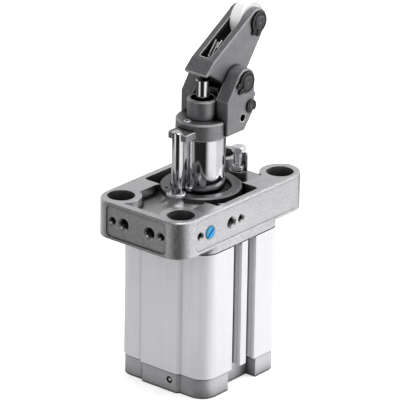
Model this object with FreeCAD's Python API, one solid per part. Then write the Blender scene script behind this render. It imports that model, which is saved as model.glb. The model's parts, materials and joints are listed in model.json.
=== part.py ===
import FreeCAD, Part
import math
import os

# Pneumatic stopper cylinder for pallet conveyors. A guided rod carries a cushioned toggle lever
# with a roller. Millimetres. The rod axis is Z, the underside of the end cap is Z = 0, and the
# long side of the flange runs along X. The rod stands fully out and the toggle lever leans
# towards +X, as when it waits for a pallet.

# Driving dimensions: end cap and barrel
cap_height = 9.0
cap_inset = 0.5
cap_channel_width = 18.0
cap_channel_depth = 5.0
barrel_length = 55.7
barrel_size_x = 49.5
barrel_size_y = 48.0
barrel_corner_radius = 7.5
barrel_bore = 32.0
panel_width = 19.3
panel_rise = 1.3
slot_pitch = 9.1
slot_mouth = 5.4
slot_mouth_depth = 1.6
slot_undercut = 6.6
slot_depth = 4.9

# Bearing flange
flange_length = 83.0
flange_width = barrel_size_y
flange_thickness = 16.0
flange_corner_radius = 9.0
flange_edge_bevel = 0.5
foot_height = 3.3
foot_groove_height = 0.5
foot_groove_depth = 0.8
hole_pitch_x = 64.0
hole_pitch_y = 32.0
mounting_hole = 6.6
mounting_head_bore = 11.6
mounting_head_depth = 6.0
hole_boss_diameter = 17.2
end_wall = 3.7
side_wall = 3.0
dish_depth = 1.4
web_half_width = 12.8
side_pocket_half_length = 12.0
shallow_pocket_depth = 4.4
pocket_corner_radius = 2.0
pocket_floor_radius = 3.5
side_pocket_depth = 11.0
end_slot_depth = 9.0
collar_diameter = 34.0
collar_recess_diameter = 25.2
collar_recess_depth = 3.5
collar_bevel = 0.6
spanner_hole = 1.6
spanner_hole_inset = 1.9
spanner_hole_turns = (0.0, 150.0)
spigot_height = 4.0

# Ports in the flange
port_thread = 5.0
port_depth = 7.0
port_spacing = 13.8
port_height_below_top = 7.8
side_port_height_below_top = 8.4
port_bevel = 0.4
port_wall = 1.4
plate_screw_hole = 3.3
plate_screw_depth = 4.2
plate_screw_spacing = 26.0
side_port_centre_x = -15.6
pad_depth = 0.45
side_pad_depth = 0.25
pad_overhang = 2.9
pad_margin = 1.1
pad_corner_radius = 2.0
plug_head_diameter = 5.3
plug_head_height = 0.45
plug_slot_width = 0.9
plug_slot_depth = 0.7
plug_slot_turn = 39.0

# Rod, piston and guide
rod_diameter = 20.0
stroke = 20.0
head_clearance = 2.2
running_clearance = 0.05
press_clearance = 0.01
thread_clearance = 0.02
seal_clearance = 0.08
bush_wall = 2.0
wiper_height = 1.8
wiper_lip = 1.0
seal_groove_margin = 0.5
rod_seal_height = 3.0
cushion_thickness = 1.5
cushion_wall = 2.2
piston_height = 14.0
piston_screw_thread = 6.0
piston_screw_head = 10.0
piston_screw_head_height = 4.0
piston_seal_height = 3.8
piston_seal_wall = 2.6
magnet_height = 3.0
magnet_wall = 3.0
magnet_inset = 0.4
rod_spigot_diameter = 12.0
rod_spigot_length = 5.0
neck_diameter = 16.0
neck_length = 5.0
guide_rod_diameter = 5.0
guide_rod_x = -15.3
guide_rod_seat_depth = 12.0
guide_rod_rise = 0.6
guide_bush_wall = 1.0
guide_bush_height = 1.2
guide_bush_rise = 0.4
guide_lobe_wall = 1.0
spring_outer_diameter = 26.0
spring_wire = 2.4
spring_turns = 4.5
spring_pocket_depth = 4.0
spring_margin = 0.5

# Clevis head
disc_diameter = 22.0
disc_thickness = 7.4
sleeve_diameter = 12.6
sleeve_height = 8.4
sleeve_root = 1.0
turned_bevel = 0.5
cheek_span = 25.0
cheek_gap = 12.4
cheek_front_x = 1.2
cheek_base_drop = 6.4
cheek_boss_radius = 5.7
cheek_toe_x = 12.3
cheek_toe_rise = 7.7
cheek_edge_radius = 0.5
fork_width = 9.6
fork_thickness = 2.9
fork_overhang = 1.0
fork_rise = 1.6
fork_corner_radius = 0.8
absorber_diameter = 10.0
absorber_length = 46.0
absorber_recess = 1.5
absorber_floor_gap = 1.0
plunger_diameter = 5.65
plunger_length = 18.0
lock_screw_diameter = 3.0
lock_screw_x = -8.0
lock_screw_y = 1.1
lock_screw_rise = 0.2
lock_socket_depth = 1.1
spare_hole = 3.3
spare_hole_x = 11.1
spare_hole_drop = 0.7

# Toggle lever, its pin and its roller. The lever's own frame starts at the pivot, and its first
# axis runs along the lever's front face.
pivot_x = 12.7
pivot_rise = 14.6
pin_diameter = 6.0
pin_overhang = 1.5
pin_bevel = 0.3
lever_width = 12.0
lever_side_clearance = 0.2
lever_lean = 31.0
lever_swing = 30.0
lever_front = 15.5
lever_hub_radius = 6.0
lever_slot_width = 5.7
lever_slot_start = -4.3
lever_slot_corner = 1.0
lever_edge_radius = 0.5
lever_bend = -5.9
heel_end = -12.2
heel_drop = 1.4
heel_lip = 1.2
sole_offset = 4.0
sole_slope = 34.0
prong_radius = 5.6
roller_along = 23.7
roller_diameter = 16.4
roller_side_clearance = 0.2
roller_bevel = 0.4
ring_thickness = 0.8
ring_width = 1.45
ring_seat = 0.15
ring_groove = 0.2
ring_gap = 1.1
ring_lug_radius = 1.0
ring_lug_reach = 5.1
ring_lug_hole = 0.4
ring_lug_turn = 17.0
pivot_ring_opening = 203.0
roller_ring_opening = 249.0
plunger_gap = 0.17

# Lock pawl and release screw
pawl_x = 16.0
pawl_rise = 3.3
pawl_pin_diameter = 3.2
pawl_hub_radius = 3.0
pawl_side_clearance = 0.4
pawl_pin_overhang = 0.75
clip_radius = 2.8
clip_thickness = 0.6
clip_mouth = 1.9
clip_ear = 0.7
clip_opening = 290.0
pawl_tail_end_x = 31.6
pawl_tail_thickness = 2.4
pawl_tail_bevel = 0.8
pawl_nose_length = 5.0
pawl_nose_width = 2.6
pawl_nose_slope = 2.0
release_screw_x = 24.4
release_thread = 3.0
release_head_flats = 5.5
release_head_height = 2.4
release_gap = 0.5
release_boss_diameter = 7.6
release_boss_drop = 1.1
release_nut_flats = 5.0
release_nut_height = 2.0
guard_height = 6.9
guard_wall = 0.8
guard_half_angle = 75.0
release_screw_end_gap = 4.0
pawl_spring_wire = 0.9
pawl_spring_margin = 0.2
pawl_spring_near = -0.9
pawl_spring_far = 1.7
pawl_spring_whole_turns = 3
long_leg = ((5.6, 14.5), (-0.8, 12.3))
short_leg = ((6.2, 14.4), (2.7, 14.0))

# Screws and small parts
tie_screw_thread = 4.0
tie_screw_head = 7.0
tie_screw_head_height = 4.0
tie_screw_hole_margin = 0.15
tie_screw_inset_x = 6.0
tie_screw_inset_y = 6.0
tie_screw_grip = 8.0
tie_screw_end_gap = 1.0
o_ring_section = 1.6
vent_diameter = 3.1
vent_depth = 2.5
vent_y = -5.6
vent_height = 5.2
vent_nose = 0.9

# Levels and places that follow from the driving dimensions
barrel_top = cap_height + barrel_length
flange_bottom = barrel_top + foot_height
flange_top = flange_bottom + flange_thickness
bore_radius = barrel_bore / 2
rod_radius = rod_diameter / 2
head_bottom = flange_top + stroke + head_clearance
disc_top = head_bottom + disc_thickness
sleeve_top = disc_top + sleeve_height
pivot_z = disc_top + pivot_rise
pawl_z = disc_top + pawl_rise
upper_stop = barrel_top - spigot_height - cushion_thickness
lower_stop = cap_height + spigot_height + cushion_thickness
piston_top = upper_stop - running_clearance
piston_bottom = piston_top - piston_height
lean = math.radians(lever_lean)
port_z = flange_top - port_height_below_top
side_port_z = flange_top - side_port_height_below_top
boss_top = flange_top - release_boss_drop
guard_top = boss_top + guard_height
tail_bottom = pawl_z - pawl_hub_radius
release_top = tail_bottom - stroke - release_gap
neck_top = head_bottom + neck_length
sleeve_bottom = disc_top - sleeve_root
seal_middle = (piston_bottom + piston_top) / 2
magnet_floor = bore_radius - magnet_inset - magnet_wall
guide_lobe_radius = guide_rod_diameter / 2 + guide_bush_wall + guide_lobe_wall
vent_face = cap_inset - barrel_size_x / 2 - panel_rise
along_x = FreeCAD.Vector(1, 0, 0)
along_y = FreeCAD.Vector(0, 1, 0)
along_z = FreeCAD.Vector(0, 0, 1)


def box(x0, x1, y0, y1, z0, z1):
    return Part.makeBox(x1 - x0, y1 - y0, z1 - z0, FreeCAD.Vector(x0, y0, z0))


def rounded_box(x0, x1, y0, y1, z0, z1, radius, axis):
    """A box whose four edges along one axis are rounded."""
    block = box(x0, x1, y0, y1, z0, z1)
    corners = [e for e in block.Edges if abs(e.tangentAt(e.FirstParameter).dot(axis)) > 0.5]
    return block.makeFillet(radius, corners)


def rounded_block(size_x, size_y, radius, z0, z1):
    """An upright block with rounded corners, centred on the rod axis."""
    x = size_x / 2
    y = size_y / 2
    return rounded_box(-x, x, -y, y, z0, z1, radius, along_z)


def cylinder(radius, z0, z1, x=0.0, y=0.0):
    return Part.makeCylinder(radius, z1 - z0, FreeCAD.Vector(x, y, z0))


def cylinder_along_y(radius, y0, y1, x, z):
    return Part.makeCylinder(radius, y1 - y0, FreeCAD.Vector(x, y0, z), along_y)


def cylinder_along_x(radius, x0, x1, y, z):
    return Part.makeCylinder(radius, x1 - x0, FreeCAD.Vector(x0, y, z), along_x)


def ring(outer, inner, z0, z1, x=0.0, y=0.0):
    return cylinder(outer, z0, z1, x, y).cut(cylinder(inner, z0, z1, x, y))


def bevelled_cylinder(radius, z0, z1, bevel, x=0.0, y=0.0):
    """A cylinder with the same bevel on both rims."""
    rims = [
        FreeCAD.Vector(0, 0, z0),
        FreeCAD.Vector(radius - bevel, 0, z0),
        FreeCAD.Vector(radius, 0, z0 + bevel),
        FreeCAD.Vector(radius, 0, z1 - bevel),
        FreeCAD.Vector(radius - bevel, 0, z1),
        FreeCAD.Vector(0, 0, z1),
    ]
    face = Part.Face(Part.makePolygon(rims + rims[:1]))
    solid = face.revolve(FreeCAD.Vector(0, 0, 0), along_z, 360)
    solid.translate(FreeCAD.Vector(x, y, 0))
    return solid


def bevelled_pin(radius, half_length, bevel, x, z):
    """A bevelled pin along Y, centred on Y = 0."""
    pin = bevelled_cylinder(radius, -half_length, half_length, bevel)
    pin.rotate(FreeCAD.Vector(0, 0, 0), along_x, 90)
    pin.translate(FreeCAD.Vector(x, 0, z))
    return pin


def bevelled_bore(radius, depth, bevel, place, inward):
    """The tool for a blind bore with a bevelled mouth, from a place on the face."""
    bore = Part.makeCylinder(radius, depth, place, inward)
    return bore.fuse(Part.makeCone(radius + bevel, radius, bevel, place, inward))


def concave_skirt(radius, size, floor, x, y):
    """The concave round that leads from a pocket's floor up into an upright boss."""
    inner = radius - size / 4
    outer = radius + size
    top = floor + size
    middle = size * (1 - math.sqrt(0.5))
    start = FreeCAD.Vector(outer, 0, floor)
    finish = FreeCAD.Vector(radius, 0, top)
    curve = Part.Arc(start, FreeCAD.Vector(radius + middle, 0, floor + middle), finish).toShape()
    rest = Part.makePolygon([finish, FreeCAD.Vector(inner, 0, top), FreeCAD.Vector(inner, 0, floor), start])
    face = Part.Face(Part.Wire([curve] + rest.Edges))
    solid = face.revolve(FreeCAD.Vector(0, 0, 0), along_z, 360)
    solid.translate(FreeCAD.Vector(x, y, 0))
    return solid


def prism_xz(points, y0, y1):
    """Extrudes an outline of (x, z) points along Y."""
    corners = [FreeCAD.Vector(x, y0, z) for x, z in points]
    face = Part.Face(Part.makePolygon(corners + corners[:1]))
    return face.extrude(FreeCAD.Vector(0, y1 - y0, 0))


def prism_xy(points, z0, z1):
    """Extrudes an outline of (x, y) points along Z."""
    corners = [FreeCAD.Vector(x, y, z0) for x, y in points]
    face = Part.Face(Part.makePolygon(corners + corners[:1]))
    return face.extrude(FreeCAD.Vector(0, 0, z1 - z0))


def tangent_point(point, centre, radius, side):
    """Where a line from a point touches a circle: +1 for the counter-clockwise side, -1 for the other."""
    away = (point[0] - centre[0], point[1] - centre[1])
    angle = math.atan2(away[1], away[0]) + side * math.acos(radius / math.hypot(*away))
    return (centre[0] + radius * math.cos(angle), centre[1] + radius * math.sin(angle))


def around(centre, reach, degrees):
    """The place at a reach and an angle from a centre."""
    angle = math.radians(degrees)
    return (centre[0] + reach * math.cos(angle), centre[1] + reach * math.sin(angle))


def side_edges(shape, y):
    """The edges that lie in the plane at y."""
    return [e for e in shape.Edges if abs(e.BoundBox.YMin - y) < 0.001 and abs(e.BoundBox.YMax - y) < 0.001]


def hexagon(flats, z0, z1, x=0.0, y=0.0):
    corners = [around((x, y), flats / math.sqrt(3), 60 * i) for i in range(6)]
    return prism_xy(corners, z0, z1)


def socket_screw(thread, head, head_height, z_seat, length, x, y):
    """A socket-head screw that points up, its head below z_seat."""
    shank = cylinder(thread / 2 - thread_clearance, 0, length, x, y)
    top = bevelled_cylinder(head / 2, -head_height, 0, head_height / 12, x, y)
    socket = hexagon(head * 0.45, -head_height, -head_height * 0.45, x, y)
    screw = shank.fuse(top).cut(socket).removeSplitter()
    screw.translate(FreeCAD.Vector(0, 0, z_seat))
    return screw


def body_outline(z0, z1, inset=0.0):
    """The barrel's outer form: a rounded block with a raised panel down each X face."""
    corner = barrel_corner_radius - inset
    core = rounded_block(barrel_size_x - 2 * inset, barrel_size_y - 2 * inset, corner, z0, z1)
    reach = barrel_size_x / 2 + panel_rise - inset
    shoulder = reach - panel_rise
    top = panel_width / 2 - inset
    foot = top + panel_rise
    half = [(shoulder, -foot), (reach, -top), (reach, top), (shoulder, foot)]
    panel = prism_xy(half + [(-x, -y) for x, y in half], z0, z1)
    return core.fuse(panel).removeSplitter()


def tie_screw_places():
    x = barrel_size_x / 2 - tie_screw_inset_x
    y = barrel_size_y / 2 - tie_screw_inset_y
    return [(sx * x, sy * y) for sx in (-1, 1) for sy in (-1, 1)]


def tie_screw_holes(z0, z1):
    radius = tie_screw_thread / 2 + tie_screw_hole_margin
    return [cylinder(radius, z0, z1, x, y) for x, y in tie_screw_places()]


def spigot_groove(middle):
    """The O-ring groove round a spigot in the bore."""
    half = o_ring_section / 2
    return ring(bore_radius, bore_radius - o_ring_section, middle - half, middle + half)


def make_end_cap():
    """The cap that closes the barrel: spigot, screw seats, vent and a channel in each Y side."""
    cap = body_outline(0, cap_height, cap_inset)
    spigot = cylinder(bore_radius - running_clearance, cap_height, cap_height + spigot_height)
    cap = cap.fuse(spigot).cut(spigot_groove(cap_height + spigot_height / 2))
    half = cap_channel_width / 2
    floor = barrel_size_y / 2 - cap_inset - cap_channel_depth
    cap = cap.cut(box(-half, half, floor, barrel_size_y / 2, 0, cap_height))
    cap = cap.cut(box(-half, half, -barrel_size_y / 2, -floor, 0, cap_height))
    cap = cap.cut(tie_screw_holes(0, cap_height))
    seat = tie_screw_head / 2 + tie_screw_hole_margin
    for x, y in tie_screw_places():
        cap = cap.cut(cylinder(seat, 0, tie_screw_head_height + tie_screw_hole_margin, x, y))
    vent = cylinder_along_x(vent_diameter / 2, vent_face, vent_face + vent_depth, vent_y, vent_height)
    return cap.cut(vent)


def make_vent_plug():
    """The porous plug that lets the lower chamber breathe: a small round nose in the open hole."""
    floor = vent_face + vent_depth
    radius = vent_diameter / 2 - press_clearance
    base = cylinder_along_x(radius, floor - vent_nose, floor, vent_y, vent_height)
    stem = cylinder_along_x(vent_nose, vent_face + vent_nose, floor, vent_y, vent_height)
    tip = Part.makeSphere(vent_nose, FreeCAD.Vector(vent_face + vent_nose, vent_y, vent_height))
    return base.fuse([stem, tip]).removeSplitter()


def make_barrel():
    """The extruded barrel with its bore, undercut sensor slots in the Y faces and tie-screw holes."""
    barrel = body_outline(cap_height, barrel_top)
    barrel = barrel.cut(cylinder(bore_radius, cap_height, barrel_top))
    face = barrel_size_y / 2
    for middle in (-slot_pitch / 2, slot_pitch / 2):
        for half, start, end in (
            (slot_mouth / 2, face, face - slot_mouth_depth),
            (slot_undercut / 2, face - slot_mouth_depth, face - slot_depth),
        ):
            low = middle - half
            high = middle + half
            barrel = barrel.cut(box(low, high, end, start, cap_height, barrel_top))
            barrel = barrel.cut(box(low, high, -start, -end, cap_height, barrel_top))
    return barrel.cut(tie_screw_holes(cap_height, barrel_top))


def hole_places():
    return [(sx * hole_pitch_x / 2, sy * hole_pitch_y / 2) for sx in (-1, 1) for sy in (-1, 1)]


def pocket(x0, x1, half_width, depth):
    """A pocket in the flange's top face that leaves the screw bosses and the collar standing."""
    floor = flange_top - depth
    tool = rounded_box(x0, x1, -half_width, half_width, floor, flange_top, pocket_corner_radius, along_z)
    for x, y in hole_places():
        tool = tool.cut(cylinder(hole_boss_diameter / 2, flange_bottom, flange_top, x, y))
    return tool.cut(cylinder(collar_diameter / 2, flange_bottom, flange_top))


def make_bearing_flange():
    """The cast flange: ribbed plate, rod collar, foot that meets the barrel, spigot inside the bore."""
    plate = rounded_block(flange_length, flange_width, flange_corner_radius, flange_bottom, flange_top)
    rims = [e for e in plate.Edges if abs(e.CenterOfMass.z - flange_top) < 0.01]
    flange = plate.makeChamfer(flange_edge_bevel, rims)
    groove_top = barrel_top + foot_groove_height
    flange = flange.fuse(body_outline(groove_top, flange_bottom))
    flange = flange.fuse(body_outline(barrel_top, groove_top, foot_groove_depth))
    spigot_bottom = barrel_top - spigot_height
    flange = flange.fuse(cylinder(bore_radius - running_clearance, spigot_bottom, barrel_top))

    # Shallow pocket behind the port face, deep pockets beside the collar, open slot at the far end
    end = flange_length / 2
    middle = side_pocket_half_length
    flange = flange.cut(pocket(end_wall - end, -middle, web_half_width, shallow_pocket_depth))
    flange = flange.cut(pocket(middle, end + end_wall, web_half_width, end_slot_depth))
    flange = flange.cut(pocket(-middle, middle, flange_width / 2 - side_wall, side_pocket_depth))
    flange = flange.fuse(make_shallow_pocket_skirts())
    flange = flange.cut(soft_dish())

    # Bevelled collar, guide rod lobe, thickening behind the open side port and the release screw's boss
    collar = collar_diameter / 2
    rim = cylinder(collar, flange_top - collar_bevel, flange_top)
    flange = flange.cut(rim.cut(Part.makeCone(collar, collar - collar_bevel, collar_bevel,
                                              FreeCAD.Vector(0, 0, flange_top - collar_bevel))))
    flange = flange.fuse(cylinder(guide_lobe_radius, flange_bottom, flange_top, guide_rod_x, 0))
    port_x = side_port_centre_x + port_spacing / 2
    backing = port_thread / 2 + port_wall
    flange = flange.fuse(cylinder_along_y(backing, -flange_width / 2 + side_wall / 2, -collar + backing,
                                          port_x, side_port_z))
    flange = flange.fuse(cylinder(release_boss_diameter / 2, flange_top - end_slot_depth, boss_top,
                                  release_screw_x, 0))
    flange = flange.fuse(make_screw_guard())

    # Collar recess, bush bore, seal groove on the spigot and the two holes for a face spanner
    recess = collar_recess_diameter / 2
    recess_floor = flange_top - collar_recess_depth
    flange = flange.cut(cylinder(recess, recess_floor, flange_top))
    flange = flange.cut(Part.makeCone(recess, recess + collar_bevel, collar_bevel,
                                      FreeCAD.Vector(0, 0, flange_top - collar_bevel)))
    flange = flange.cut(cylinder(rod_radius + bush_wall, spigot_bottom, recess_floor))
    flange = flange.cut(spigot_groove(barrel_top - spigot_height / 2))
    for degrees in spanner_hole_turns:
        x, y = around((0.0, 0.0), collar - spanner_hole_inset, degrees)
        flange = flange.cut(cylinder(spanner_hole / 2, flange_top - spanner_hole_inset, flange_top, x, y))

    # Mounting holes, guide rod seat, release screw thread and tie-screw threads
    for x, y in hole_places():
        flange = flange.cut(cylinder(mounting_hole / 2, flange_bottom, flange_top, x, y))
        head_seat = flange_top - mounting_head_depth
        flange = flange.cut(cylinder(mounting_head_bore / 2, head_seat, flange_top, x, y))
    seat = guide_rod_diameter / 2 + press_clearance
    flange = flange.cut(cylinder(seat, flange_top - guide_rod_seat_depth, flange_top, guide_rod_x, 0))
    bush = seat + guide_bush_wall
    flange = flange.cut(cylinder(bush, flange_top - guide_bush_height, flange_top, guide_rod_x, 0))
    flange = flange.cut(cylinder(release_thread / 2, flange_bottom, boss_top, release_screw_x, 0))
    flange = flange.cut(tie_screw_holes(barrel_top, barrel_top + tie_screw_grip))
    return cut_ports(flange).removeSplitter()


def soft_dish():
    """The shallow dish between the front screw boss and both pockets, with a rounded foot."""
    floor = flange_top - dish_depth
    near = side_wall - flange_width / 2
    far = pocket_corner_radius - web_half_width
    inner = -side_pocket_half_length
    tool = box(-hole_pitch_x / 2, inner, near, far, floor, flange_top)
    tool = tool.cut(cylinder(hole_boss_diameter / 2, floor, flange_top, -hole_pitch_x / 2, -hole_pitch_y / 2))
    low = [e for e in tool.Edges if abs(e.CenterOfMass.z - floor) < 0.01]
    foot = [e for e in low if e.CenterOfMass.x < inner - 0.01 and e.CenterOfMass.y < far - 0.01]
    return tool.makeFillet(dish_depth * 0.8, foot).cut(cylinder(collar_diameter / 2, floor, flange_top))


def make_shallow_pocket_skirts():
    """The rounds at the foot of the collar and of the guide rod lobe, inside the shallow pocket."""
    floor = flange_top - shallow_pocket_depth
    skirts = concave_skirt(collar_diameter / 2, pocket_floor_radius, floor, 0, 0)
    skirts = skirts.fuse(concave_skirt(guide_lobe_radius, pocket_floor_radius, floor, guide_rod_x, 0))
    inside = box(end_wall - flange_length / 2, -side_pocket_half_length, -web_half_width, web_half_width,
                 floor, flange_top)
    return skirts.common(inside)


def make_screw_guard():
    """The half tube on the boss that shields the release screw's thread and nut on the far side."""
    outer = release_boss_diameter / 2
    shell = ring(outer, outer - guard_wall, boss_top, guard_top, release_screw_x, 0)
    centre = (release_screw_x, 0.0)
    reach = release_boss_diameter
    near = around(centre, reach, -guard_half_angle)
    far = around(centre, reach, guard_half_angle)
    sector = [centre, near, (release_screw_x + reach, near[1]), (release_screw_x + reach, far[1]), far]
    return shell.common(prism_xy(sector, boss_top, guard_top))


def cut_ports(flange):
    """Cuts the milled pads, the ports and the plate-screw holes in the -X face and in the -Y face."""
    face_x = -flange_length / 2
    face_y = -flange_width / 2
    low = flange_bottom + pad_margin
    high = flange_top - pad_margin
    half = plate_screw_spacing / 2 + pad_overhang
    floor_x = face_x + pad_depth
    floor_y = face_y + side_pad_depth
    flange = flange.cut(rounded_box(face_x, floor_x, -half, half, low, high, pad_corner_radius, along_x))
    left = side_port_centre_x - half
    right = flange_length / 2 + pad_corner_radius
    flange = flange.cut(rounded_box(left, right, face_y, floor_y, low, high, pad_corner_radius, along_y))
    for spacing, radius, depth in (
        (port_spacing, port_thread / 2, port_depth),
        (plate_screw_spacing, plate_screw_hole / 2, plate_screw_depth),
    ):
        for offset in (-spacing / 2, spacing / 2):
            end_place = FreeCAD.Vector(floor_x, offset, port_z)
            side_place = FreeCAD.Vector(side_port_centre_x + offset, floor_y, side_port_z)
            flange = flange.cut(bevelled_bore(radius, depth, port_bevel, end_place, along_x))
            flange = flange.cut(bevelled_bore(radius, depth, port_bevel, side_place, along_y))
    return flange


def make_port_plug():
    """The slotted plastic plug that closes the unused side port."""
    x = side_port_centre_x - port_spacing / 2
    face = -flange_width / 2 + side_pad_depth
    top = face - plug_head_height
    radius = plug_head_diameter / 2
    head = cylinder_along_y(radius, top, face, x, side_port_z)
    rim = side_edges(head, top)
    head = head.makeChamfer(plug_head_height / 2, rim)
    stem_radius = port_thread / 2 - running_clearance
    stem = cylinder_along_y(stem_radius, face, face + port_depth / 2, x, side_port_z)
    half = plug_slot_width / 2
    slot = box(-radius, radius, top, top + plug_slot_depth, -half, half)
    slot.rotate(FreeCAD.Vector(0, 0, 0), along_y, -plug_slot_turn)
    slot.translate(FreeCAD.Vector(x, 0, side_port_z))
    return head.fuse(stem).cut(slot).removeSplitter()


def make_tie_screws():
    """The four long screws that clamp the cap, the barrel and the flange together."""
    seat = tie_screw_head_height + tie_screw_hole_margin
    length = barrel_top - seat + tie_screw_grip - tie_screw_end_gap
    screws = [
        socket_screw(tie_screw_thread, tie_screw_head, tie_screw_head_height, seat, length, x, y)
        for x, y in tie_screw_places()
    ]
    return Part.makeCompound(screws)


def make_rod_bush():
    bottom = barrel_top - spigot_height + rod_seal_height + seal_groove_margin
    top = flange_top - collar_recess_depth - seal_groove_margin
    return ring(rod_radius + bush_wall, rod_radius + running_clearance, bottom, top)


def make_rod_seal():
    bottom = barrel_top - spigot_height + seal_groove_margin
    return ring(rod_radius + bush_wall, rod_radius + seal_clearance, bottom, bottom + rod_seal_height)


def make_rod_wiper():
    """The wiper ring in the collar recess: its lip rises round the rod."""
    floor = flange_top - collar_recess_depth
    inner = rod_radius + seal_clearance
    body = ring(collar_recess_diameter / 2, inner, floor, floor + wiper_height * 0.6)
    lip = ring(inner + wiper_lip, inner, floor, floor + wiper_height)
    return body.fuse(lip).removeSplitter()


def make_o_ring(middle):
    section = (o_ring_section - seal_clearance) / 2
    return Part.makeTorus(bore_radius - o_ring_section / 2 - seal_clearance / 2, section,
                          FreeCAD.Vector(0, 0, middle))


def make_cushion_ring(z0):
    outer = bore_radius - running_clearance
    return ring(outer, outer - cushion_wall, z0, z0 + cushion_thickness)


def make_guide_rod():
    """The polished rod, pressed into the flange, that keeps the clevis head from turning."""
    bottom = flange_top - guide_rod_seat_depth
    top = head_bottom + fork_rise + fork_thickness + guide_rod_rise
    return bevelled_cylinder(guide_rod_diameter / 2, bottom, top, guide_rod_rise / 2, guide_rod_x, 0)


def make_guide_rod_bush():
    inner = guide_rod_diameter / 2 + press_clearance
    bottom = flange_top - guide_bush_height
    return ring(inner + guide_bush_wall, inner, bottom, flange_top + guide_bush_rise, guide_rod_x, 0)


def make_piston():
    """The piston: seal groove round it, magnet rebate on top, spring pocket and screw seat below."""
    piston = cylinder(bore_radius - running_clearance, piston_bottom, piston_top)
    half = piston_seal_height / 2 + seal_clearance
    groove = bore_radius - piston_seal_wall
    piston = piston.cut(ring(bore_radius, groove, seal_middle - half, seal_middle + half))
    piston = piston.cut(ring(bore_radius, magnet_floor, piston_top - magnet_height, piston_top))
    spring_seat = piston_bottom + spring_pocket_depth
    piston = piston.cut(cylinder(spring_outer_diameter / 2 + spring_margin, piston_bottom, spring_seat))
    spigot = rod_spigot_diameter / 2 + press_clearance
    piston = piston.cut(cylinder(spigot, piston_top - rod_spigot_length, piston_top))
    return piston.cut(cylinder(piston_screw_thread / 2 + seal_clearance, piston_bottom, piston_top))


def make_piston_seal():
    half = piston_seal_height / 2
    outer = bore_radius - seal_clearance
    inner = bore_radius - piston_seal_wall
    return ring(outer, inner, seal_middle - half, seal_middle + half)


def make_magnet_ring():
    return ring(bore_radius - magnet_inset, magnet_floor, piston_top - magnet_height, piston_top)


def make_piston_screw():
    seat = piston_bottom + spring_pocket_depth
    length = piston_top - seat + piston_screw_thread
    head = piston_screw_head
    return socket_screw(piston_screw_thread, head, piston_screw_head_height, seat, length, 0, 0)


def make_return_spring():
    """The coil spring under the piston, drawn at its fitted length."""
    bottom = cap_height + spigot_height
    top = piston_bottom + spring_pocket_depth
    mean = (spring_outer_diameter - spring_wire) / 2
    rise = top - bottom - spring_wire
    start = bottom + spring_wire / 2
    helix = Part.makeHelix(rise / spring_turns, rise, mean)
    helix.translate(FreeCAD.Vector(0, 0, start))
    section = Part.Wire(Part.makeCircle(spring_wire / 2, FreeCAD.Vector(mean, 0, start), along_y))
    return Part.Solid(Part.Wire(helix).makePipeShell([section], True, True))


def make_piston_rod():
    """The hollow rod: spigot in the piston, neck inside the clevis head, absorber bore down the middle."""
    neck_top = head_bottom + neck_length
    spigot_end = piston_top - rod_spigot_length
    rod = cylinder(rod_radius, piston_top, head_bottom)
    rod = rod.fuse(cylinder(rod_spigot_diameter / 2, spigot_end, piston_top))
    rod = rod.fuse(cylinder(neck_diameter / 2, head_bottom, neck_top))
    thread_end = piston_top + piston_screw_thread + seal_clearance
    rod = rod.cut(cylinder(piston_screw_thread / 2, spigot_end, thread_end))
    bore_floor = sleeve_top - absorber_recess - absorber_length
    rod = rod.cut(cylinder(absorber_diameter / 2 + running_clearance, bore_floor, neck_top))
    return rod.removeSplitter()


def make_cheek(outer, inner):
    """One clevis cheek: upright front, slope up to the boss round the pivot, straight back, short toe."""
    pivot = (pivot_x, pivot_z)
    base = disc_top - cheek_base_drop
    front_top = (cheek_front_x, sleeve_top)
    shoulder = tangent_point(front_top, pivot, cheek_boss_radius, -1)
    back_x = pivot_x + cheek_boss_radius
    outline = [
        (cheek_front_x, base), front_top, shoulder, pivot,
        (back_x, pivot_z), (back_x, base + cheek_toe_rise), (cheek_toe_x, base),
    ]
    low = min(outer, inner)
    high = max(outer, inner)
    cheek = prism_xz(outline, low, high)
    cheek = cheek.fuse(cylinder_along_y(cheek_boss_radius, low, high, pivot_x, pivot_z)).removeSplitter()
    return cheek.makeFillet(cheek_edge_radius, side_edges(cheek, outer))


def make_fork():
    """The anti-rotation fork: a flat tongue from the disc with an open slot for the guide rod."""
    tip = guide_rod_x - fork_overhang
    half = fork_width / 2
    bottom = head_bottom + fork_rise
    top = bottom + fork_thickness
    fork = rounded_box(tip, 0, -half, half, bottom, top, fork_corner_radius, along_z)
    half_slot = guide_rod_diameter / 2 + seal_clearance
    fork = fork.cut(box(tip, guide_rod_x, -half_slot, half_slot, bottom, top))
    return fork.cut(cylinder(half_slot, bottom, top, guide_rod_x, 0))


def make_clevis_head():
    """The cast head: disc, sleeve for the absorber, cheeks for the lever and the guide fork."""
    head = bevelled_cylinder(disc_diameter / 2, head_bottom, disc_top, turned_bevel)
    head = head.fuse(bevelled_cylinder(sleeve_diameter / 2, sleeve_bottom, sleeve_top, turned_bevel))
    outer = cheek_span / 2
    inner = cheek_gap / 2
    head = head.fuse([make_cheek(-outer, -inner), make_cheek(outer, inner), make_fork()])
    head = head.cut(cylinder(absorber_diameter / 2 + running_clearance, head_bottom, sleeve_top))
    head = head.cut(cylinder(neck_diameter / 2 + running_clearance, head_bottom, neck_top))
    head = head.cut(cylinder(lock_screw_diameter / 2, neck_top, disc_top, lock_screw_x, lock_screw_y))
    for radius, x, z in (
        (pin_diameter / 2 + press_clearance, pivot_x, pivot_z),
        (pawl_pin_diameter / 2 + press_clearance, pawl_x, pawl_z),
        (spare_hole / 2, spare_hole_x, disc_top - spare_hole_drop),
    ):
        head = head.cut(cylinder_along_y(radius, -outer, -inner, x, z))
        head = head.cut(cylinder_along_y(radius, inner, outer, x, z))
    return head.removeSplitter()


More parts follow.
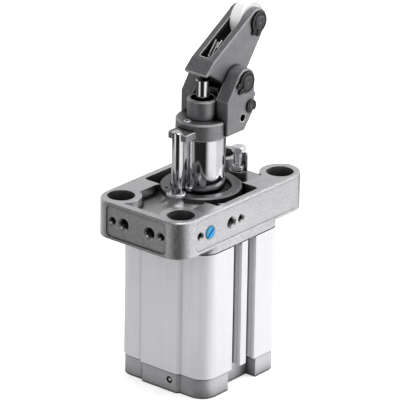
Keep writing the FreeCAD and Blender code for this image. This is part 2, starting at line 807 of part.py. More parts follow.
def make_lock_screw():
    """The small socket grub screw in the disc that locks the head on the rod's neck."""
    top = disc_top + lock_screw_rise
    radius = lock_screw_diameter / 2 - thread_clearance
    bottom = neck_top + running_clearance
    screw = bevelled_cylinder(radius, bottom, top, lock_screw_rise, lock_screw_x, lock_screw_y)
    floor = top - lock_socket_depth
    return screw.cut(hexagon(lock_screw_diameter / 2, floor, top, lock_screw_x, lock_screw_y))


def make_absorber_body():
    """The self-contained shock absorber in the rod: a tube with a bore for its plunger."""
    top = sleeve_top - absorber_recess
    body = bevelled_cylinder(absorber_diameter / 2, top - absorber_length, top, turned_bevel)
    travel = math.radians(lever_swing) * plunger_ratio()
    floor = plunger_rest_top() - plunger_length - travel - absorber_floor_gap
    return body.cut(cylinder(plunger_diameter / 2 + running_clearance, floor, top))


def sole_height(slope_degrees):
    """Height of the lever's sloping sole above the plunger's near edge."""
    slope = math.radians(slope_degrees)
    reach = pivot_x - plunger_diameter / 2
    return pivot_z - sole_offset / math.cos(slope) + math.tan(slope) * reach


def plunger_rest_top():
    return sole_height(sole_slope) - plunger_gap


def plunger_ratio():
    """Plunger travel for each radian of lever swing; the gap grows by half towards the end."""
    end_top = sole_height(sole_slope - lever_swing) - 1.5 * plunger_gap
    return (plunger_rest_top() - end_top) / math.radians(lever_swing)


def make_plunger():
    top = plunger_rest_top()
    return bevelled_cylinder(plunger_diameter / 2, top - plunger_length, top, 0.25)


def from_lever_frame(along, out):
    """Turns a place in the lever's own frame (along the front face, out from the pivot) into (x, z)."""
    x = pivot_x + along * math.cos(lean) - out * math.sin(lean)
    z = pivot_z + along * math.sin(lean) + out * math.cos(lean)
    return (x, z)


def roller_place():
    return from_lever_frame(roller_along, lever_front - prong_radius)


def sole_point(distance):
    """A point of the lever's sole, at a signed distance along it from the foot of the pivot."""
    slope = math.radians(sole_slope)
    x = pivot_x - sole_offset * math.sin(slope) + distance * math.cos(slope)
    z = pivot_z - sole_offset * math.cos(slope) - distance * math.sin(slope)
    return (x, z)


def lever_outline():
    """Outline of the lever without its round ends: bend and heel in front, sole below, straight back."""
    pivot = (pivot_x, pivot_z)
    roller = roller_place()
    away = (roller[0] - pivot_x, roller[1] - pivot_z)
    spread = math.acos((lever_hub_radius - prong_radius) / math.hypot(*away))
    back = math.degrees(math.atan2(away[1], away[0]) - spread)
    heel_top = from_lever_frame(heel_end, lever_front - heel_drop)
    lip = from_lever_frame(heel_end, lever_front - heel_drop - heel_lip)
    lip_reach = math.hypot(lip[0] - pivot_x, lip[1] - pivot_z)
    return [
        from_lever_frame(roller_along, lever_front),
        from_lever_frame(lever_bend, lever_front),
        heel_top,
        lip,
        sole_point(heel_lip * 2 - lip_reach),
        sole_point(0.0),
        pivot,
        around(pivot, lever_hub_radius, back),
        around(roller, prong_radius, back),
        roller,
    ]


def make_toggle_lever():
    """The cast toggle lever: solid heel over the plunger, two prongs with the roller slot between them."""
    half = lever_width / 2
    roller = roller_place()
    lever = prism_xz(lever_outline(), -half, half)
    lever = lever.fuse(cylinder_along_y(lever_hub_radius, -half, half, pivot_x, pivot_z))
    lever = lever.fuse(cylinder_along_y(prong_radius, -half, half, roller[0], roller[1])).removeSplitter()
    lever = lever.makeFillet(lever_edge_radius, side_edges(lever, -half) + side_edges(lever, half))
    half_slot = lever_slot_width / 2
    far = roller_along + 2 * prong_radius
    slot = rounded_box(lever_slot_start, far, -half_slot, half_slot, -2 * lever_hub_radius, 2 * lever_front,
                       lever_slot_corner, along_z)
    slot.rotate(FreeCAD.Vector(0, 0, 0), along_y, -lever_lean)
    slot.translate(FreeCAD.Vector(pivot_x, 0, pivot_z))
    lever = lever.cut(slot)
    lever = lever.cut(cylinder_along_y(pin_diameter / 2 + running_clearance, -half, half, pivot_x, pivot_z))
    pin_seat = pin_diameter / 2 + press_clearance
    return lever.cut(cylinder_along_y(pin_seat, -half, half, roller[0], roller[1])).removeSplitter()


def make_roller():
    roller = roller_place()
    half = lever_slot_width / 2 - roller_side_clearance
    wheel = bevelled_pin(roller_diameter / 2, half, roller_bevel, roller[0], roller[1])
    bore = pin_diameter / 2 + running_clearance
    return wheel.cut(cylinder_along_y(bore, -half, half, roller[0], roller[1]))


def groove_span(face, side, thickness):
    """Where a ring outside the face lies along Y, as (low, high)."""
    near = side * (face + ring_seat)
    far = side * (face + ring_seat + thickness)
    return (min(near, far), max(near, far))


def grooved_pin(diameter, face, overhang, thickness, x, z):
    """A pin along Y with a ring groove outside each face that it passes through."""
    pin = bevelled_pin(diameter / 2, face + overhang, pin_bevel, x, z)
    for side in (-1, 1):
        y0, y1 = groove_span(face, side, thickness)
        outer = cylinder_along_y(diameter / 2, y0, y1, x, z)
        pin = pin.cut(outer.cut(cylinder_along_y(diameter / 2 - ring_groove, y0, y1, x, z)))
    return pin


def retaining_rings(face, x, z, opening):
    """The two retaining rings of a pin, each with two drilled lugs beside its gap."""
    rings = []
    inner = pin_diameter / 2 - ring_groove
    outer = pin_diameter / 2 + ring_width
    for side in (-1, 1):
        y0, y1 = groove_span(face, side, ring_thickness)
        shape = cylinder_along_y(outer, y0, y1, x, z)
        for turn in (-ring_lug_turn, ring_lug_turn):
            lug_x, lug_z = around((x, z), ring_lug_reach, opening + turn)
            shape = shape.fuse(cylinder_along_y(ring_lug_radius, y0, y1, lug_x, lug_z))
            shape = shape.cut(cylinder_along_y(ring_lug_hole, y0, y1, lug_x, lug_z))
        gap = box(0, 2 * outer, y0, y1, -ring_gap / 2, ring_gap / 2)
        gap.rotate(FreeCAD.Vector(0, 0, 0), along_y, -opening)
        gap.translate(FreeCAD.Vector(x, 0, z))
        rings.append(shape.cut(gap).cut(cylinder_along_y(inner, y0, y1, x, z)).removeSplitter())
    return Part.makeCompound(rings)


def pawl_pin_clips():
    """The two E-clips of the pawl pin, open to one side, with a relief on both sides of the back grip."""
    clips = []
    grip = pawl_pin_diameter / 2 - ring_groove
    for side in (-1, 1):
        y0, y1 = groove_span(cheek_span / 2, side, clip_thickness)
        clip = cylinder_along_y(clip_radius, y0, y1, pawl_x, pawl_z)
        for turn in (-120, 120):
            ear_x, ear_z = around((pawl_x, pawl_z), grip, clip_opening + turn)
            clip = clip.cut(cylinder_along_y(clip_ear, y0, y1, ear_x, ear_z))
        mouth = box(0, 2 * clip_radius, y0, y1, -clip_mouth / 2, clip_mouth / 2)
        mouth.rotate(FreeCAD.Vector(0, 0, 0), along_y, -clip_opening)
        mouth.translate(FreeCAD.Vector(pawl_x, 0, pawl_z))
        clips.append(clip.cut(mouth).cut(cylinder_along_y(grip, y0, y1, pawl_x, pawl_z)).removeSplitter())
    return Part.makeCompound(clips)


def make_lock_pawl():
    """The pawl that holds the lever upright; its tail meets the release screw at the end of the stroke."""
    half = lever_slot_width / 2 - pawl_side_clearance
    tail = prism_xz(
        [
            (pawl_x, tail_bottom),
            (pawl_tail_end_x - pawl_tail_bevel, tail_bottom),
            (pawl_tail_end_x, tail_bottom + pawl_tail_bevel),
            (pawl_tail_end_x, tail_bottom + pawl_tail_thickness),
            (pawl_x, pawl_z + pawl_hub_radius * 0.6),
        ],
        -half,
        half,
    )
    nose_top = pawl_z + pawl_nose_length
    nose_x = pawl_x - pawl_nose_width
    nose = prism_xz(
        [
            (pawl_x - pawl_hub_radius * 0.9, pawl_z),
            (pawl_x + pawl_hub_radius * 0.6, pawl_z),
            (pawl_x, nose_top - pawl_nose_slope / 2),
            (nose_x, nose_top),
            (nose_x - pawl_nose_slope / 2, nose_top - pawl_nose_slope),
        ],
        -half,
        half,
    )
    pawl = cylinder_along_y(pawl_hub_radius, -half, half, pawl_x, pawl_z).fuse([tail, nose])
    bore = cylinder_along_y(pawl_pin_diameter / 2 + running_clearance, -half, half, pawl_x, pawl_z)
    return pawl.cut(bore).removeSplitter()


def wire_along(points, y, radius):
    """A round wire along straight runs through (x, z) points in the plane at y."""
    places = [FreeCAD.Vector(x, y, z) for x, z in points]
    wire = Part.makeSphere(radius, places[-1])
    for start, end in zip(places, places[1:]):
        wire = wire.fuse(Part.makeCylinder(radius, (end - start).Length, start, end - start))
        wire = wire.fuse(Part.makeSphere(radius, start))
    return wire


def make_pawl_spring():
    """The torsion spring round the pivot pin, with two legs that show in the lever's slot."""
    wire = pawl_spring_wire / 2
    mean = pin_diameter / 2 + pawl_spring_wire / 2 + pawl_spring_margin
    pivot = (pivot_x, pivot_z)
    long_run = [from_lever_frame(*place) for place in long_leg]
    short_run = [from_lever_frame(*place) for place in short_leg]
    long_start = tangent_point(long_run[0], pivot, mean, 1)
    short_start = tangent_point(short_run[0], pivot, mean, -1)
    first = math.degrees(math.atan2(long_start[1] - pivot_z, long_start[0] - pivot_x))
    last = math.degrees(math.atan2(short_start[1] - pivot_z, short_start[0] - pivot_x))
    turns = pawl_spring_whole_turns + (last - first) / 360
    height = pawl_spring_far - pawl_spring_near
    helix = Part.makeHelix(height / turns, height, mean)
    section = Part.Wire(Part.makeCircle(wire, FreeCAD.Vector(mean, 0, 0), along_y))
    coil = Part.Solid(Part.Wire(helix).makePipeShell([section], True, True))
    coil.rotate(FreeCAD.Vector(0, 0, 0), along_z, first)
    coil.rotate(FreeCAD.Vector(0, 0, 0), along_x, 90)
    coil.translate(FreeCAD.Vector(pivot_x, pawl_spring_far, pivot_z))
    long_wire = wire_along([long_start] + long_run, pawl_spring_far, wire)
    short_wire = wire_along([short_start] + short_run, pawl_spring_near, wire)
    return coil.fuse([long_wire, short_wire])


def make_release_screw():
    """The hexagon-head adjusting screw that lifts the pawl's tail at the end of the down stroke."""
    seat = release_top - release_head_height
    head = hexagon(release_head_flats, seat, release_top, release_screw_x, 0)
    corner = release_head_flats / math.sqrt(3)
    bevel = corner - release_head_flats / 2
    head = head.common(bevelled_cylinder(corner, seat - bevel, release_top, bevel, release_screw_x, 0))
    radius = release_thread / 2 - thread_clearance
    bottom = flange_bottom + release_screw_end_gap
    return head.fuse(cylinder(radius, bottom, seat, release_screw_x, 0)).removeSplitter()


def make_release_nut():
    top = boss_top + release_nut_height
    nut = hexagon(release_nut_flats, boss_top, top, release_screw_x, 0)
    return nut.cut(cylinder(release_thread / 2, boss_top, top, release_screw_x, 0))


roller_x, roller_z = roller_place()
cheek_face = cheek_span / 2
lever_face = lever_width / 2

parts = {
    "end_cap": make_end_cap(),
    "vent_plug": make_vent_plug(),
    "barrel": make_barrel(),
    "bearing_flange": make_bearing_flange(),
    "port_plug": make_port_plug(),
    "tie_screws": make_tie_screws(),
    "rod_bush": make_rod_bush(),
    "rod_seal": make_rod_seal(),
    "rod_wiper": make_rod_wiper(),
    "flange_o_ring": make_o_ring(barrel_top - spigot_height / 2),
    "cap_o_ring": make_o_ring(cap_height + spigot_height / 2),
    "upper_cushion_ring": make_cushion_ring(upper_stop),
    "lower_cushion_ring": make_cushion_ring(cap_height + spigot_height),
    "guide_rod": make_guide_rod(),
    "guide_rod_bush": make_guide_rod_bush(),
    "release_screw": make_release_screw(),
    "release_lock_nut": make_release_nut(),
    "return_spring": make_return_spring(),
    "piston": make_piston(),
    "piston_seal": make_piston_seal(),
    "magnet_ring": make_magnet_ring(),
    "piston_screw": make_piston_screw(),
    "piston_rod": make_piston_rod(),
    "clevis_head": make_clevis_head(),
    "head_lock_screw": make_lock_screw(),
    "shock_absorber_body": make_absorber_body(),
    "shock_absorber_plunger": make_plunger(),
    "pivot_pin": grooved_pin(pin_diameter, cheek_face, pin_overhang, ring_thickness, pivot_x, pivot_z),
    "pivot_pin_rings": retaining_rings(cheek_face, pivot_x, pivot_z, pivot_ring_opening),
    "pawl_pin": grooved_pin(pawl_pin_diameter, cheek_face, pawl_pin_overhang, clip_thickness,
                            pawl_x, pawl_z),
    "pawl_pin_rings": pawl_pin_clips(),
    "pawl_spring": make_pawl_spring(),
    "lock_pawl": make_lock_pawl(),
    "toggle_lever": make_toggle_lever(),
    "roller_pin": grooved_pin(pin_diameter, lever_face, pin_overhang, ring_thickness, roller_x, roller_z),
    "roller_pin_rings": retaining_rings(lever_face, roller_x, roller_z, roller_ring_opening),
    "roller": make_roller(),
}

os.makedirs("parts", exist_ok=True)
for node, shape in parts.items():
    shape.exportStep("parts/" + node + ".step")
    size = shape.BoundBox
    print(f"{node}: {len(shape.Solids)} solid(s), volume {shape.Volume:.0f} mm3, "
          f"Z {size.ZMin:.2f} to {size.ZMax:.2f}, valid {shape.isValid()}")
print(f"pivot {pivot_x:.3f}, {pivot_z:.3f}; pawl {pawl_x:.3f}, {pawl_z:.3f}")
print(f"roller {roller_x:.3f}, {roller_z:.3f}; flange top {flange_top:.3f}")
print(f"plunger ratio {plunger_ratio():.4f} mm/rad, plunger top {plunger_rest_top():.3f}")
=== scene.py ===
import json
import math

import bmesh
import bpy
from mathutils import Matrix, Vector


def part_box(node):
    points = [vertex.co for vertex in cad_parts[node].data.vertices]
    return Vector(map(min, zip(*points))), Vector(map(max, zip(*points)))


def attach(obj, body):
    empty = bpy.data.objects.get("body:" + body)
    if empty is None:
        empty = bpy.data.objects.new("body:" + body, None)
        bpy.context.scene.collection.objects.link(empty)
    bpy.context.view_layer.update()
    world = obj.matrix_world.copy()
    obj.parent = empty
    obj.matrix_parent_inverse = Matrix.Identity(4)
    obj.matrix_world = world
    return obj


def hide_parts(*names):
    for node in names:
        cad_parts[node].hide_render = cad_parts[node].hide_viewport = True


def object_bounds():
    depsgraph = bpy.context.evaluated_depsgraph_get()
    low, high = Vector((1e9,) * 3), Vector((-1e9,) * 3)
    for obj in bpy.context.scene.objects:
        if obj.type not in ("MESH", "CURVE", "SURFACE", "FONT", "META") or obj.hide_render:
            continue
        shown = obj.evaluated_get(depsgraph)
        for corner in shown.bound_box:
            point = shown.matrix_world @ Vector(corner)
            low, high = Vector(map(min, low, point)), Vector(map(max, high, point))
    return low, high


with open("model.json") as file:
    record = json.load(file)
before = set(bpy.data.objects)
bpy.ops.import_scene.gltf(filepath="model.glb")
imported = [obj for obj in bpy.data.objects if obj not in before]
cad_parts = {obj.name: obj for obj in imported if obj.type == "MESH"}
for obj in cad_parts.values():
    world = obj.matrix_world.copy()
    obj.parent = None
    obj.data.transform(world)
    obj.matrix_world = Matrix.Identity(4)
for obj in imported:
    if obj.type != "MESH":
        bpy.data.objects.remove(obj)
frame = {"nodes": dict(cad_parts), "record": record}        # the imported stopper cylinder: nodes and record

nodes = frame["nodes"]
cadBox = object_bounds()
mm = 0.001
print("frame loaded:", len(nodes), "CAD nodes")


def linearColour(hexText):
    # sRGB hex text to the linear colour that a socket takes
    channels = []
    for i in (0, 2, 4):
        value = int(hexText[i:i + 2], 16) / 255
        channels.append(value / 12.92 if value <= 0.04045 else ((value + 0.055) / 1.055) ** 2.4)
    return (*channels, 1.0)


def emptyTree(owner):
    owner.use_nodes = True
    owner.node_tree.nodes.clear()
    return owner.node_tree


def addNode(tree, kind, settings=None, links=None):
    # settings go to an input by its number or name, or else to a property of the node
    node = tree.nodes.new(kind)
    for name, value in (settings or {}).items():
        if isinstance(name, int) or name in node.inputs:
            node.inputs[name].default_value = value
        else:
            setattr(node, name, value)
    for socket, source in (links or {}).items():
        tree.links.new(source, node.inputs[socket])
    return node


def addRemap(tree, source, fromEnds, toEnds=(0.0, 1.0)):
    ends = {1: fromEnds[0], 2: fromEnds[1], 3: toEnds[0], 4: toEnds[1]}
    return addNode(tree, "ShaderNodeMapRange", ends, {0: source}).outputs[0]


def addProduct(tree, first, second):
    product = addNode(tree, "ShaderNodeMath", {"operation": "MULTIPLY"}, {0: first, 1: second})
    return product.outputs[0]


def addTint(tree, colour, mask, hexText):
    # lays a second colour over the first where the mask is 1
    mix = addNode(tree, "ShaderNodeMix", {"data_type": "RGBA", 7: linearColour(hexText)},
                  {0: mask, 6: colour})
    return mix.outputs[2]


def addObject(name, data):
    item = bpy.data.objects.new(name, data)
    bpy.context.scene.collection.objects.link(item)
    return item


# camera: stands where the photograph was taken from, far off with a long lens
cameraView = {
    "target": (-0.000143, 0.000343, 0.076411),        # metres, as are distance and clip
    "azimuth": -50.527,        # degrees, as are elevation and roll
    "elevation": 22.336,
    "roll": 0.904,
    "distance": 1.67632,
    "lens": 364.66,        # mm, as is the sensor's width
    "sensorWidth": 36.0,
    "clip": (0.1, 20.0),
}


def buildCamera(view):
    turn = math.radians(view["azimuth"])
    lift = math.radians(view["elevation"])
    level = math.cos(lift)
    back = Vector((math.sin(turn) * level, -math.cos(turn) * level, math.sin(lift)))
    data = bpy.data.cameras.new("studioCamera")
    data.lens = view["lens"]
    data.sensor_width = view["sensorWidth"]
    data.clip_start, data.clip_end = view["clip"]
    camera = addObject("studioCamera", data)
    camera.rotation_mode = "QUATERNION"
    camera.location = Vector(view["target"]) + back * view["distance"]
    tilt = Matrix.Rotation(math.radians(view["roll"]), 3, back)
    facing = (-back).to_track_quat("-Z", "Y").to_matrix()
    camera.rotation_quaternion = (tilt @ facing).to_quaternion()
    bpy.context.scene.camera = camera


buildCamera(cameraView)

# studio: pale floor, white surround, a key lamp on the right, two lamps above, a weak one left
studio = {
    "floorColour": "F7F7F7",
    "surroundColour": "FFFFFF",
    "floorSize": 6.0,
    "floorGlow": 0.45,        # lifts the floor to white, for the camera alone
    "ambient": 0.58,        # strength of the surround as a light
    "backdrop": 1.0,        # strength of the surround where the camera or a reflection sees it
    "lamps": {
        "keyLamp": {"place": (1.15, -1.2, 0.72), "size": 1.2, "watts": 17.8},
        "topLamp": {"place": (0.7, 0.3, 1.5), "size": 1.4, "watts": 10.5},
        "roofLamp": {"place": (-0.3, -0.3, 1.5), "size": 0.9, "watts": 3.5},
        "fillLamp": {"place": (-1.5, -0.35, 0.5), "size": 1.2, "watts": 1.9},
    },
    "aim": (0.0, 0.0, 0.08),
}


def buildStudio(values):
    white = linearColour(values["surroundColour"])
    world = bpy.data.worlds.new("studioWorld")
    bpy.context.scene.world = world
    tree = emptyTree(world)
    path = addNode(tree, "ShaderNodeLightPath")
    seen = addNode(tree, "ShaderNodeMath", {"operation": "MAXIMUM"},
                   {0: path.outputs["Is Camera Ray"], 1: path.outputs["Is Glossy Ray"]})
    seenToo = addNode(tree, "ShaderNodeMath", {"operation": "MAXIMUM"},
                      {0: seen.outputs[0], 1: path.outputs["Is Transmission Ray"]})
    ambient, backdrop = (addNode(tree, "ShaderNodeBackground",
                                 {"Color": white, "Strength": values[strength]})
                         for strength in ("ambient", "backdrop"))
    mix = addNode(tree, "ShaderNodeMixShader", {},
                  {0: seenToo.outputs[0], 1: ambient.outputs[0], 2: backdrop.outputs[0]})
    addNode(tree, "ShaderNodeOutputWorld", {}, {"Surface": mix.outputs[0]})

    floorMaterial = bpy.data.materials.new("paleStudioFloor")
    tree = emptyTree(floorMaterial)
    path = addNode(tree, "ShaderNodeLightPath")
    glow = addNode(tree, "ShaderNodeMath", {"operation": "MULTIPLY", 1: values["floorGlow"]},
                   {0: path.outputs["Is Camera Ray"]})
    matte = addNode(tree, "ShaderNodeBsdfDiffuse", {"Color": linearColour(values["floorColour"])})
    light = addNode(tree, "ShaderNodeEmission", {"Color": white}, {"Strength": glow.outputs[0]})
    both = addNode(tree, "ShaderNodeAddShader", {}, {0: matte.outputs[0], 1: light.outputs[0]})
    addNode(tree, "ShaderNodeOutputMaterial", {}, {"Surface": both.outputs[0]})

    mesh = bpy.data.meshes.new("studioFloor")
    half = values["floorSize"] / 2
    low = cadBox[0].z
    corners = [(-half, -half, low), (half, -half, low), (half, half, low), (-half, half, low)]
    mesh.from_pydata(corners, [], [(0, 1, 2, 3)])
    mesh.materials.append(floorMaterial)
    floor = addObject("studioFloor", mesh)

    for name, lamp in values["lamps"].items():
        data = bpy.data.lights.new(name, "AREA")
        data.shape = "DISK"
        data.size = lamp["size"]
        data.energy = lamp["watts"]
        lampObject = addObject(name, data)
        lampObject.location = lamp["place"]
        aim = Vector(values["aim"]) - Vector(lamp["place"])
        lampObject.rotation_mode = "QUATERNION"
        lampObject.rotation_quaternion = aim.to_track_quat("-Z", "Y")
    bpy.context.scene.view_settings.view_transform = "Standard"


buildStudio(studio)

# cards that only reflections see: levels are (degrees round the object, brightness),
# and the path is (reach, height) in metres from one edge to the other
reflections = {
    "step": 5.0,        # degrees between two columns of a card
    "lift": 0.4,        # mm above the floor
    "cards": {
        "nearCard": {
            "levels": [(95, 0.60), (115, 0.50), (135, 0.12), (152, 0.12), (165, 0.48), (188, 0.48),
                       (204, 0.10), (222, 0.02), (249, 0.02), (264, 0.45), (276, 1.0)],
            "path": [(0.10, 0.0), (0.232, 0.0)]},
        "rodCard": {
            "levels": [(60, 0.35), (95, 0.50), (178, 0.60), (190, 0.02), (238, 0.02), (255, 1.0)],
            "path": [(0.232, 0.0), (0.275, 0.0)]},
        "farCard": {
            "levels": [(60, 0.10), (146, 0.06), (156, 0.95), (176, 0.95), (186, 0.02), (238, 0.02),
                       (253, 1.0)],
            "path": [(0.275, 0.0), (0.40, 0.0)]},
        "wallCard": {
            "levels": [(60, 0.90), (112, 0.80), (128, 0.10), (236, 0.04), (250, 1.0)],
            "path": [(0.40, 0.0), (0.60, 0.0), (0.64, 0.55)]},
        "rightCard": {
            "levels": [(290, 1.0), (303, 0.92), (335, 0.90), (352, 0.15), (375, 0.06), (400, 0.30),
                       (415, 0.5)],
            "path": [(0.20, 0.0), (0.275, 0.0)]},
        "farRightCard": {
            "levels": [(286, 1.0), (298, 0.60), (335, 0.60), (352, 0.12), (370, 0.06), (380, 0.8)],
            "path": [(0.275, 0.0), (0.55, 0.0)]},
        "chamferCard": {
            "levels": [(296, 0.18), (372, 0.18)],
            "path": [(0.60, 0.32), (0.55, 0.60)]},
        "backCard": {
            "levels": [(374, 0.60), (426, 0.60)],
            "path": [(0.64, 0.10), (0.64, 0.55)]},
        "cornerCard": {
            "levels": [(95, 0.50), (165, 0.42), (180, 0.25), (193, 0.05), (230, 0.05), (242, 0.9)],
            "path": [(0.031, 0.0), (0.10, 0.0)]},
        "overheadCard": {
            "levels": [(20, 0.18), (200, 0.18)],
            "path": [(0.66, 0.50), (0.42, 0.85), (0.03, 1.00)]},
    },
}


def cardColumns(levels, step):
    # the levels of a card, with even steps filled in between them
    columns = []
    for (start, fromGrey), (end, toGrey) in zip(levels, levels[1:]):
        count = max(1, round((end - start) / step))
        columns += [(start + (end - start) * i / count, fromGrey + (toGrey - fromGrey) * i / count)
                    for i in range(count)]
    return columns + [levels[-1]]


def buildCards(values):
    paper = bpy.data.materials.new("greyStudioCard")
    tree = emptyTree(paper)
    level = addNode(tree, "ShaderNodeAttribute", {"attribute_name": "cardGrey"})
    glow = addNode(tree, "ShaderNodeEmission", {"Strength": 1.0}, {"Color": level.outputs["Color"]})
    addNode(tree, "ShaderNodeOutputMaterial", {}, {"Surface": glow.outputs[0]})
    low = cadBox[0].z + values["lift"] * mm
    for name, card in values["cards"].items():
        points, greys, faces = [], [], []
        rows = len(card["path"])
        for column, (degrees, grey) in enumerate(cardColumns(card["levels"], values["step"])):
            turn = math.radians(degrees)
            points += [(math.cos(turn) * reach, math.sin(turn) * reach, low + height)
                       for reach, height in card["path"]]
            greys += [grey] * rows
            if column:
                first = column * rows
                faces += [(first + i, first + i + 1, first + i + 1 - rows, first + i - rows)
                          for i in range(rows - 1)]
        data = bpy.data.meshes.new(name)
        data.from_pydata(points, [], faces)
        shade = data.color_attributes.new("cardGrey", "FLOAT_COLOR", "POINT")
        for i, grey in enumerate(greys):
            shade.data[i].color = (grey, grey, grey, 1.0)
        data.materials.append(paper)
        piece = addObject(name, data)
        piece.visible_camera = False
        piece.visible_diffuse = False
        piece.visible_shadow = False
        piece.visible_transmission = False


buildCards(reflections)
print("camera and studio built")


# materials: colour, roughness and surface of each real finish, sizes in mm
# what a finish has where it says nothing else
plainFinish = {"worn": "FFFFFF", "roughnessSpread": 0.08, "edge": 0.0, "wear": 0.0,
               "stretch": (1, 1, 1), "speckle": 0.0}
finishes = {
    # die-cast, shot-blasted and milled on top: dull silver grey with a fine grain
    "blastedCastAluminium": {
        "colour": "CCCCCE", "spread": "C5C5C8", "worn": "F0F0F1", "metallic": 0.95,
        "roughness": 0.36, "patch": 7.0, "grain": 0.7, "depth": 0.025, "edge": 0.24, "wear": 0.45,
        "speckle": 0.16},
    # the same casting on the end cap, left duller and a little darker
    "blastedCapAluminium": {
        "colour": "CACACD", "spread": "C2C2C5", "worn": "E6E6E8", "metallic": 0.7,
        "roughness": 0.46, "patch": 7.0, "grain": 0.55, "depth": 0.02, "edge": 0.3, "wear": 0.4,
        "speckle": 0.08},
    # matt clear anodising: even, very pale silver with faint draw lines
    "anodisedExtrudedAluminium": {
        "colour": "E2E2E5", "spread": "DEDEE1", "worn": "ECECEE", "metallic": 0.25,
        "roughness": 0.42, "roughnessSpread": 0.04, "patch": 16.0, "grain": 0.6, "depth": 0.006,
        "edge": 0.3, "wear": 0.3, "stretch": (1, 1, 0.015), "speckle": 0.025},
    # investment-cast and tumbled: neutral dark grey, fine blasted skin, painted highlights on its
    # edges
    "blastedCastSteel": {
        "colour": "8E8E91", "spread": "868689", "worn": "FFFFFF", "metallic": 0.85,
        "roughness": 0.42, "patch": 4.0, "grain": 0.6, "depth": 0.025, "edge": 0.55, "wear": 1.0,
        "speckle": 0.16},
    # hard chrome, ground and polished: mirror-like with dark and white streaks
    "chromedGroundSteel": {
        "colour": "DEDEE0", "spread": "D6D6D9", "metallic": 1.0, "roughness": 0.07,
        "roughnessSpread": 0.03, "patch": 9.0, "grain": 0.5, "depth": 0.001,
        "stretch": (0.2, 0.2, 3.0)},
    # thin bright plating over turned or rolled steel: pale, with soft bright reflections
    "zincPlatedSteel": {
        "colour": "EEEEF0", "spread": "DCDDE0", "worn": "FAFAFA", "metallic": 0.6,
        "roughness": 0.2, "patch": 2.0, "grain": 0.4, "depth": 0.004, "edge": 0.12, "wear": 0.4,
        "speckle": 0.05},
    # stamped, blackened and oiled: near black and satin, with a painted highlight on its rims
    "blackOxideSteel": {
        "colour": "161617", "spread": "0E0E0F", "worn": "DCDCDC", "metallic": 0.6,
        "roughness": 0.28, "roughnessSpread": 0.06, "patch": 2.0, "grain": 0.35, "depth": 0.006,
        "edge": 0.12, "wear": 0.6},
    # hardened pins: dark steel with a ground sheen on the end
    "hardenedGroundSteel": {
        "colour": "525255", "spread": "464649", "worn": "B0B0B3", "metallic": 0.75,
        "roughness": 0.36, "roughnessSpread": 0.06, "patch": 2.5, "grain": 0.4, "depth": 0.006,
        "edge": 0.12, "wear": 0.5},
    # drawn wire, slightly oily: pale grey with a soft line of light
    "drawnSpringWire": {
        "colour": "C6C6C8", "spread": "B4B4B7", "metallic": 0.75, "roughness": 0.26,
        "roughnessSpread": 0.06, "patch": 3.0, "grain": 0.4, "depth": 0.004},
    # turned on a lathe: bright with fine rings
    "turnedAluminium": {
        "colour": "C4C4C6", "spread": "BABABC", "worn": "DCDCDE", "metallic": 1.0,
        "roughness": 0.35, "roughnessSpread": 0.06, "patch": 6.0, "grain": 0.4, "depth": 0.01,
        "edge": 0.15, "wear": 0.4, "stretch": (0.1, 0.1, 3.0), "speckle": 0.05},
    # freshly tapped threads: bright, smooth flanks that catch the light
    "cutThreadAluminium": {
        "colour": "E0E0E2", "spread": "C8C8CB", "metallic": 1.0, "roughness": 0.26, "patch": 1.5,
        "grain": 0.3, "depth": 0.004},
    # small moulded plug: clean blue with a soft plastic gloss
    "mouldedBluePlastic": {
        "colour": "2C9AD2", "spread": "2389BF", "worn": "62B8E2", "metallic": 0.0,
        "roughness": 0.34, "patch": 1.5, "grain": 0.3, "depth": 0.006, "edge": 0.15, "wear": 0.5},
    # turned acetal: waxy white with faint turning marks
    "turnedAcetal": {
        "colour": "FAFAF9", "spread": "F5F5F4", "worn": "FAFAFA", "metallic": 0.0,
        "roughness": 0.4, "patch": 4.0, "grain": 0.4, "depth": 0.01, "edge": 0.3, "wear": 0.2},
    # moulded seals: near black and dull, with a trace of talc
    "mouldedNitrileRubber": {
        "colour": "1C1C1C", "spread": "262626", "worn": "303030", "metallic": 0.0,
        "roughness": 0.6, "roughnessSpread": 0.1, "patch": 3.0, "grain": 0.3, "depth": 0.01,
        "edge": 0.15, "wear": 0.3},
    # sintered and sized bush: dull gold with an oily sheen
    "bearingBronze": {
        "colour": "B08A4E", "spread": "A27E46", "worn": "C9A566", "metallic": 1.0,
        "roughness": 0.4, "patch": 4.0, "grain": 0.4, "depth": 0.01, "edge": 0.15, "wear": 0.3},
    # pressed from round grains: rough and dark between the grains
    "sinteredBronze": {
        "colour": "9A8A66", "spread": "5E5340", "metallic": 0.8, "roughness": 0.55,
        "roughnessSpread": 0.1, "patch": 0.4, "grain": 0.3, "depth": 0.06, "speckle": 0.25},
    # magnet powder in plastic: dark grey-brown and dull
    "bondedFerrite": {
        "colour": "35322F", "spread": "2B2926", "worn": "4A4643", "metallic": 0.0,
        "roughness": 0.55, "patch": 3.0, "grain": 0.3, "depth": 0.01, "edge": 0.2, "wear": 0.4},
}
# painted shade in deep hollows: colour, reach in mm, strength, openness where it starts and ends
hollowShade = {
    "blastedCastAluminium": ("38383A", 14.0, 0.9, 0.62, 0.18),
    "blastedCapAluminium": ("3A3A3C", 8.0, 0.85, 0.85, 0.3),
    "blastedCastSteel": ("09090A", 12.0, 0.98, 0.64, 0.40),
    "cutThreadAluminium": ("0E0E10", 5.0, 0.96, 0.62, 0.36),
    "zincPlatedSteel": ("0C0C0D", 1.2, 0.9, 0.85, 0.3),
}
